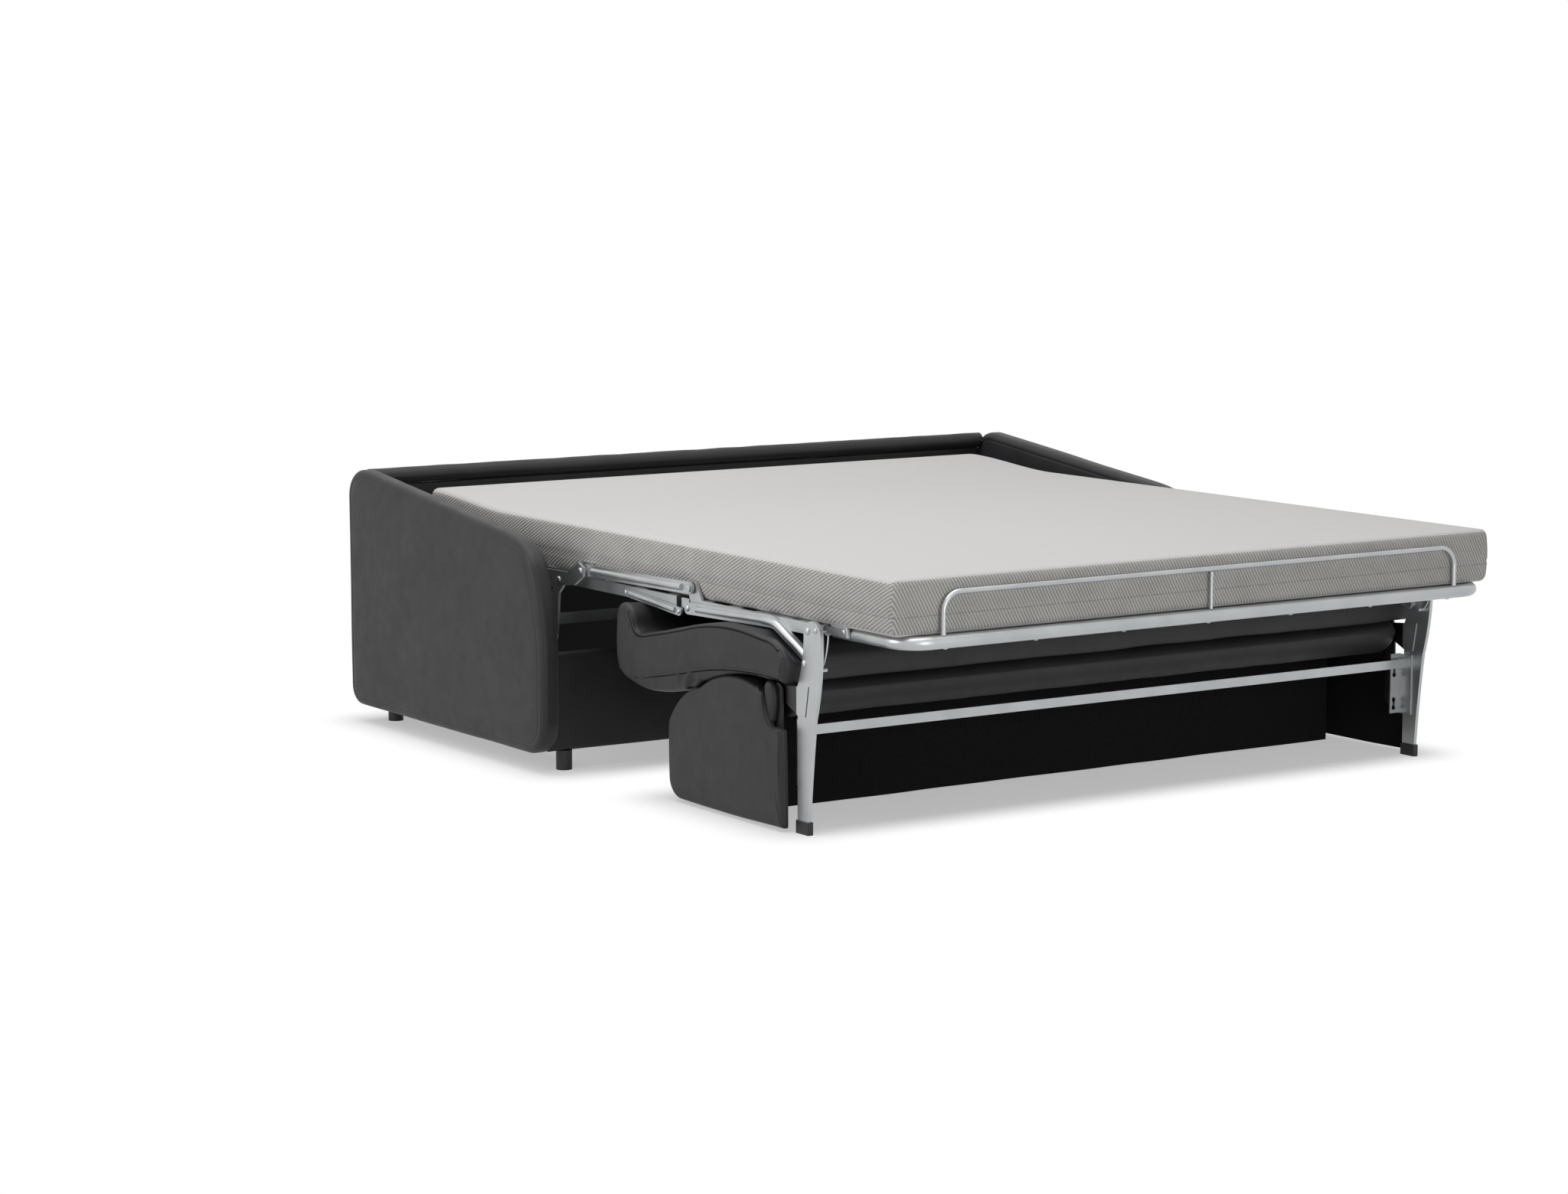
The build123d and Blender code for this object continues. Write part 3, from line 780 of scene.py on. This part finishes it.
cutters = [cutter_box("hollow", (-846, 846), (-740, -495), (-20, 232))]
for side in (-1, 1):
    cutters.append(cutter_box("pocket", sorted((side * 790, side * 846)), (-740, -355), (-20, 246)))
    cutters.append(cutter_box("ear_way", sorted((side * 819, side * 838)), (-740, -575), (200, 320)))
for cutter in cutters:
    cut = shell.modifiers.new("cut", "BOOLEAN")
    cut.object, cut.operation, cut.solver, cut.material_mode = cutter, "DIFFERENCE", "EXACT", "TRANSFER"
depsgraph = bpy.context.evaluated_depsgraph_get()
hollowed = bpy.data.meshes.new_from_object(shell.evaluated_get(depsgraph))
shell.modifiers.clear()
shell.data = hollowed
for cutter in cutters:
    bpy.data.objects.remove(cutter)
shell.data.set_sharp_from_angle(angle=radians(40))
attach(shell, "backrest")
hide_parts("backrest_shell")
print(shell.name, len(shell.data.polygons), "faces")

# %% [markdown]
# Behind the shell's top edge lies a soft roll of leather, where the cover is gathered round the hinge.
# It shows between the legs as a long bolster and at each side as a dark rounded end, edged by piping.
# The seat presses it flat when the bed folds; these pieces ride on the backrest, each with a mesh of its
# own.

# %% backrest roll, its ends and the piping
middle_outline = even_loop(arc_chain([
    (-626, 286), (-629, 256), (-636, 232), (-648, 227), (-660, 232), (-684, 252), (-698, 280), (-664, 304),
]), 64, (-626, 286))
end_outline = even_loop(arc_chain([
    (-620, 286), (-623, 256), (-631, 226), (-642, 217), (-652, 228), (-657, 260), (-650, 294), (-634, 304),
]), 64, (-620, 286))
bolsters = [("backrest_bolster", middle_outline, rounded_edge(-816, 816, 8, 4, 60), 1)]
bolsters += [(f"backrest_bolster_end_{word}", end_outline, rounded_edge(836, 855, 9, 5, 1), side)
             for side, word in SIDES]
for name, outline, rings, side in bolsters:
    bolster = stuffed(name, outline, rings, 1.5, [leather], 6, mirrored(side))
    soften(bolster, 70, 1.5, 2.0)
    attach(bolster, "backrest")
    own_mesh(bolster)
    print(bolster.name, len(bolster.data.polygons), "faces")
notch_line = [(-594, 286), (-610, 279), (-620, 264), (-626, 247), (-632, 231), (-641, 216), (-654, 206),
              (-688, 204)]
shell_skin = skin_of(shell)
for side, word in SIDES:
    welt(f"backrest_piping_{word}", on_side(shell_skin, notch_line, side), 2.4, "backrest")

# %% [markdown]
# Small steel trim finishes the mechanism: domed rivet heads where the links are joined, and a row of
# rivets under the foot tube. A rivet head is a low dome turned from a short profile.

# %% rivets
def turned(name, centre, axis, profile, body, sides=20):
    """A small turned part: a profile of (radius, height) in millimetres, spun about an axis."""
    axis = Vector(axis).normalized()
    across = axis.orthogonal().normalized()
    other = axis.cross(across)
    points = []
    for radius, height in profile:
        for i in range(sides):
            a = 2 * pi * i / sides
            co = Vector(centre) * MM + (across * cos(a) + other * sin(a)) * radius * MM + axis * height * MM
            points.append(tuple(co))
    faces = ring_faces(len(profile), sides)
    faces += [tuple(range(sides)), tuple(range((len(profile) - 1) * sides, len(profile) * sides))]
    piece = new_piece(name, points, faces, [steel])
    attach(piece, body)
    return piece


dome = [(7, -0.5), (7, 1.2), (6.2, 2.6), (4.4, 3.6), (2.2, 4.1), (0.6, 4.2)]
small_dome = [(r * 0.75, h * 0.8) for r, h in dome]
rivets = 0
for side, word in SIDES:
    out = (side, 0, 0)
    for label, x, place_yz, body, head in (
        ("leg_hub", 832, (-748, 416), "seat_section", dome),
        ("leg_link", 832, (-736, 349), "seat_section", dome),
        ("leg_tip", 832, (-776, 420), "seat_section", small_dome),
        ("link_end", 815, (-271, 408), "seat_section", dome),
        ("bar_end", 828, (150, 445), "base", dome),
        ("bar_fold", 818, (-280, 452), "bars", dome),
        ("strut_front", 815, (-21, 415), "base", small_dome),
        ("strut_back", 815, (-236, 397), "base", small_dome),
        ("bracket_hub", 828, (244, 416), "base", dome),
        ("rear_hub", 828, (725, 416), "base", dome),
    ):
        turned(f"rivet_{label}_{word}", (side * x, *place_yz), out, head, body)
        rivets += 1
tube_rivets, first_rivet, rivet_pitch = 7, -675, 225
for i in range(tube_rivets):
    under_tube = (first_rivet + rivet_pitch * i, -1000, 400.5)
    turned(f"rivet_tube_{i}", under_tube, (0, 0, -1), small_dome, "foot_section")
    rivets += 1
print("set", rivets, "rivets")

# %% [markdown]
# The straps are pressed from sheet, with a rounded bead along them that stiffens the steel and
# catches a long highlight. A half-sunk rod over each CAD rib gives that round top. Beside the legs
# sit a clip on the foot tube and a thin spring wire, and an end plate closes each middle rail.

# %% beads, clips and wires
link_bend = [(-560, 416), (-585, 416), (-610, 412), (-645, 394), (-680, 377), (-710, 362), (-724, 355)]
clip_outline = even_loop([(-829, 408), (-829, 430), (-771, 430), (-771, 408)], 40, (-829, 408))
end_plate = even_loop([(-266, 405), (-266, 427), (-236, 427), (-236, 405)], 40, (-266, 405))
wire_line = [(-804, 413), (-803, 398), (-796, 370), (-786, 348), (-778, 341)]
for side, word in SIDES:
    for label, x, line, radius, body in (
        ("link", 812, [(-306, 409), (-400, 411), (-500, 414), (-575, 416)], 8.0, "seat_section"),
        ("link_bend", 813, link_bend, 8.8, "seat_section"),
        ("bar", 817.5, [(116, 445.5), (0, 447.5), (-130, 449.5), (-254, 451.5)], 7.8, "bars"),
        ("strut", 812, [(-36, 413.7), (-128, 406), (-221, 398.3)], 7.6, "base"),
        ("wire", 820, wire_line, 1.6, "seat_section"),
    ):
        path = [mirrored(side)(x, y, z) for y, z in line]
        welt(f"{label}_bead_{word}", path, radius, body, steel)
    for label, outline, across, body in (("tube_clip", clip_outline, (784, 792), "foot_section"),
                                         ("rail_end", end_plate, (803.5, 808.5), "base")):
        plate = stuffed(f"{label}_{word}", outline, rounded_edge(*across, 1.5, 3, 1), 0, [steel], 4,
                        mirrored(side))
        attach(plate, body)
    turned(f"rivet_clip_{word}", (side * 792, -818, 420), (side, 0, 0), small_dome, "foot_section")
print("beads, clips and wires set")

# %% [markdown]
# The floor is a wide plain sheet, white like the photograph's. Away from the two footprints, of the
# base and of the backrest, it fades into the white background, while the soft shadow under them
# stays. Three soft boxes and a pale world light the object at a plain level.

# %% floor, world and lamps
floor_reach = 30
footprints = ((0.57, 0.88, 0.42), (-0.48, 0.83, 0.21))
fade_width, glow_under = 0.17, 0.42
world_fill = 0.25


def seen_by_eye(tree):
    """One for the rays that the eye follows, straight, mirrored or through glass, and nought for others."""
    rays = add_node(tree, "ShaderNodeLightPath").outputs
    shown = rays["Is Camera Ray"]
    for kind in ("Is Glossy Ray", "Is Transmission Ray"):
        shown = add_node(tree, "ShaderNodeMath", {0: shown, 1: rays[kind]}, operation="MAXIMUM").outputs[0]
    return shown


floor_corners = [(x * floor_reach, y * floor_reach, 0) for x, y in ((-1, -1), (1, -1), (1, 1), (-1, 1))]
floor_mesh = bpy.data.meshes.new("floor")
floor_mesh.from_pydata(floor_corners, [], [(0, 1, 2, 3)])
floor = bpy.data.objects.new("floor", floor_mesh)
bpy.context.scene.collection.objects.link(floor)
floor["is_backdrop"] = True
floor_finish, tree, shader, place = new_finish("white_studio_floor")
fill(shader, {"Base Color": hex_colour("#d2d2d2"), "Roughness": 0.9, "Specular IOR Level": 0.0})
vectors = "ShaderNodeVectorMath"
gaps = []
for middle_y, half_x, half_y in footprints:
    centred = add_node(tree, vectors, {0: place, 1: (0, -middle_y, 0)}, operation="ADD")
    folded = add_node(tree, vectors, {0: centred.outputs[0]}, operation="ABSOLUTE")
    outside = add_node(tree, vectors, {0: folded.outputs[0], 1: (half_x, half_y, 0)}, operation="SUBTRACT")
    beyond = add_node(tree, vectors, {0: outside.outputs[0], 1: (0, 0, 0)}, operation="MAXIMUM")
    gaps.append(add_node(tree, vectors, {0: beyond.outputs[0]}, operation="LENGTH").outputs["Value"])
gap = add_node(tree, "ShaderNodeMath", {0: gaps[0], 1: gaps[1]}, operation="MINIMUM")
fade = add_node(tree, "ShaderNodeMapRange", {
    "Value": gap.outputs[0], "From Min": 0.0, "From Max": fade_width, "To Min": glow_under,
}, interpolation_type="SMOOTHSTEP")
seen = add_node(tree, "ShaderNodeMath", {0: seen_by_eye(tree), 1: fade.outputs["Result"]},
                operation="MULTIPLY")
glow = add_node(tree, "ShaderNodeEmission", {"Strength": 1.0})
mixed = add_node(tree, "ShaderNodeMixShader", {
    "Fac": seen.outputs[0], 1: shader.outputs[0], 2: glow.outputs[0]})
fill(tree.nodes["Material Output"], {"Surface": mixed.outputs[0]})
floor_mesh.materials.append(floor_finish)

world = bpy.data.worlds.new("studio")
bpy.context.scene.world = world
world.use_nodes = True
tree = world.node_tree
level = add_node(tree, "ShaderNodeMapRange", {
    "Value": seen_by_eye(tree), "To Min": world_fill, "To Max": 1.0})
fill(tree.nodes["Background"], {"Strength": level.outputs["Result"], "Color": (1, 1, 1, 1)})

for name, where, aim, size, power in (
    ("overhead_box", (-0.8, -0.2, 4.2), (0, 0, 0.3), 4.5, 172),
    ("left_box", (-4.8, 0.5, 2.0), (0, 0, 0.4), 2.4, 62),
    ("foot_box", (-0.6, -4.8, 0.9), (0, -0.7, 0.35), 1.2, 38),
):
    lamp_data = bpy.data.lights.new(name, "AREA")
    lamp_data.size, lamp_data.energy = size, power
    lamp = bpy.data.objects.new(name, lamp_data)
    lamp.location = where
    lamp.rotation_euler = (Vector(aim) - Vector(where)).to_track_quat("-Z", "Y").to_euler()
    bpy.context.scene.collection.objects.link(lamp)
print("lit by three soft boxes")

# %% sizes and finish
shown_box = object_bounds()
for label, pair in (("CAD box", cad_box), ("visual box", shown_box)):
    print(label, [[round(v, 4) for v in corner] for corner in pair])
